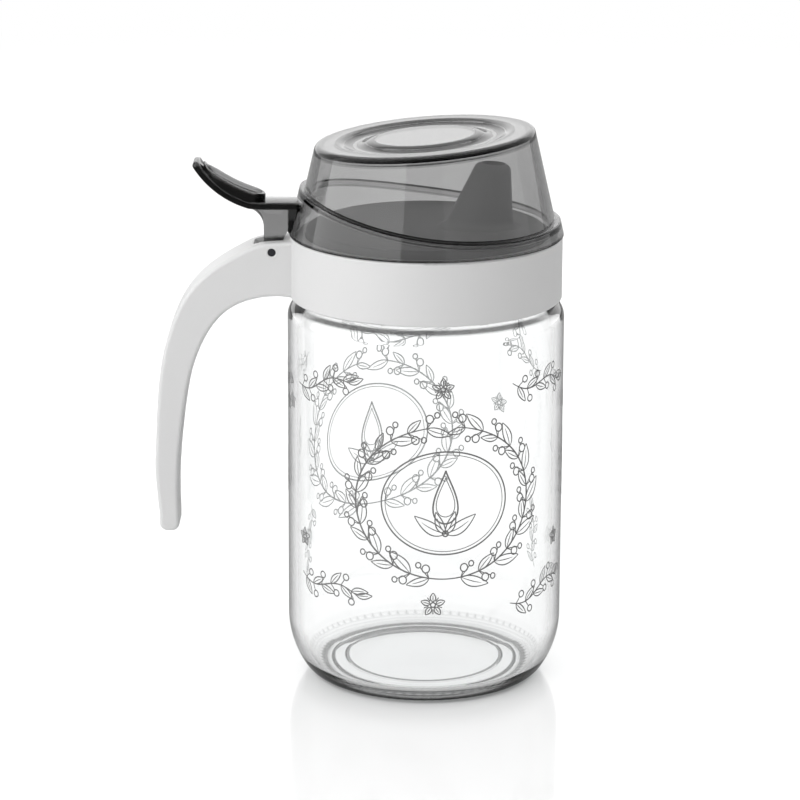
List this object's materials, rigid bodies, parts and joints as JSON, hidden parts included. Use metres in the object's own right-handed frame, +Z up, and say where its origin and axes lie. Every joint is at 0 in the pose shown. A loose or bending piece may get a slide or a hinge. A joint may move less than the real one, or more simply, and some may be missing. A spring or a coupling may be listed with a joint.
{
  "type": "oil bottle with hinged lid",
  "caption": "Clear glass oil bottle with a screw collar, moulded hook handle, pouring spout and hinged smoke lid with thumb lever.",
  "frame": {"origin": "centre of the round foot, on the surface the bottle stands on", "axes": "+Z up along the jar's axis, +X towards the spout, the handle and the hinge at -X"},
  "size_m": [0.1304, 0.088, 0.1787],
  "materials": {
    "clear_glass": "clear moulded glass",
    "seal": "soft translucent white",
    "pale_plastic": "satin pale grey moulding",
    "grey_plastic": "satin mid grey moulding",
    "pin_steel": "dark pin end",
    "smoke_plastic": "clear smoke-tinted moulding"
  },
  "bodies": {
    "jar": {"glass_jar": "clear_glass"},
    "seal": {"seal_ring": "seal"},
    "cap": {"screw_collar": "pale_plastic", "pour_insert": "grey_plastic", "hinge_pin": "pin_steel"},
    "lid": {"flip_lid": "smoke_plastic"}
  },
  "joints": [
    {"name": "cap_rise", "type": "slide", "parent": "jar", "child": "seal", "axis": [0, 0, 1], "range_m": [0, 0.0151]},
    {"name": "cap_turn", "type": "hinge", "parent": "seal", "child": "cap", "pos_m": [0, 0, 0.1344], "axis": [0, 0, 1], "range_deg": [0, 450]},
    {"name": "lid_hinge", "type": "hinge", "parent": "cap", "child": "lid", "pos_m": [-0.04865, 0, 0.13965], "axis": [0, -1, 0], "range_deg": [0, 45]}
  ],
  "couplings": [
    {"joint": "cap_rise", "follows": "cap_turn", "m_per_rad": 0.0019099}
  ]
}
